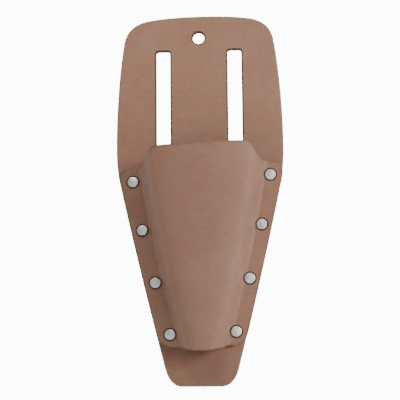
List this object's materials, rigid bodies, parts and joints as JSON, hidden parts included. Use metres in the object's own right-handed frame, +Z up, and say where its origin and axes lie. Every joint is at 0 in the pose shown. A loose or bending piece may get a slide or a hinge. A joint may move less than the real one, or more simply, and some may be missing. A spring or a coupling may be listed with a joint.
{
  "type": "leather pliers holster",
  "caption": "Shield-shaped leather belt holster: flat back panel with a hang hole and upright belt slots, and a moulded, riveted pouch open at top and bottom.",
  "frame": {"origin": "on the back face of the belt strip, on the panel's midline, midway between the upper and the lower ends of the two belt slots", "axes": "+Z up along the panel's midline towards the hang hole, +Y out of the flat back towards the wearer, so the pouch faces -Y, and +X to the right as seen from the front"},
  "size_m": [0.1146, 0.0319, 0.254],
  "materials": {
    "leather_panel": "vegetable-tanned, grain side out, matt",
    "leather_pouch": "vegetable-tanned, wet-moulded, matt with a faint sheen",
    "rivet_nickel": "nickel plate, hand set, lightly hammered"
  },
  "bodies": {
    "root": {"back_panel": "leather_panel", "front_pouch": "leather_pouch", "rivet_cap_left_1": "rivet_nickel", "rivet_cap_left_2": "rivet_nickel", "rivet_cap_left_3": "rivet_nickel", "rivet_cap_left_4": "rivet_nickel", "rivet_cap_right_1": "rivet_nickel", "rivet_cap_right_2": "rivet_nickel", "rivet_cap_right_3": "rivet_nickel", "rivet_cap_right_4": "rivet_nickel", "rivet_post_left_1": "rivet_nickel", "rivet_post_left_2": "rivet_nickel", "rivet_post_left_3": "rivet_nickel", "rivet_post_left_4": "rivet_nickel", "rivet_post_right_1": "rivet_nickel", "rivet_post_right_2": "rivet_nickel", "rivet_post_right_3": "rivet_nickel", "rivet_post_right_4": "rivet_nickel"}
  },
  "joints": []
}
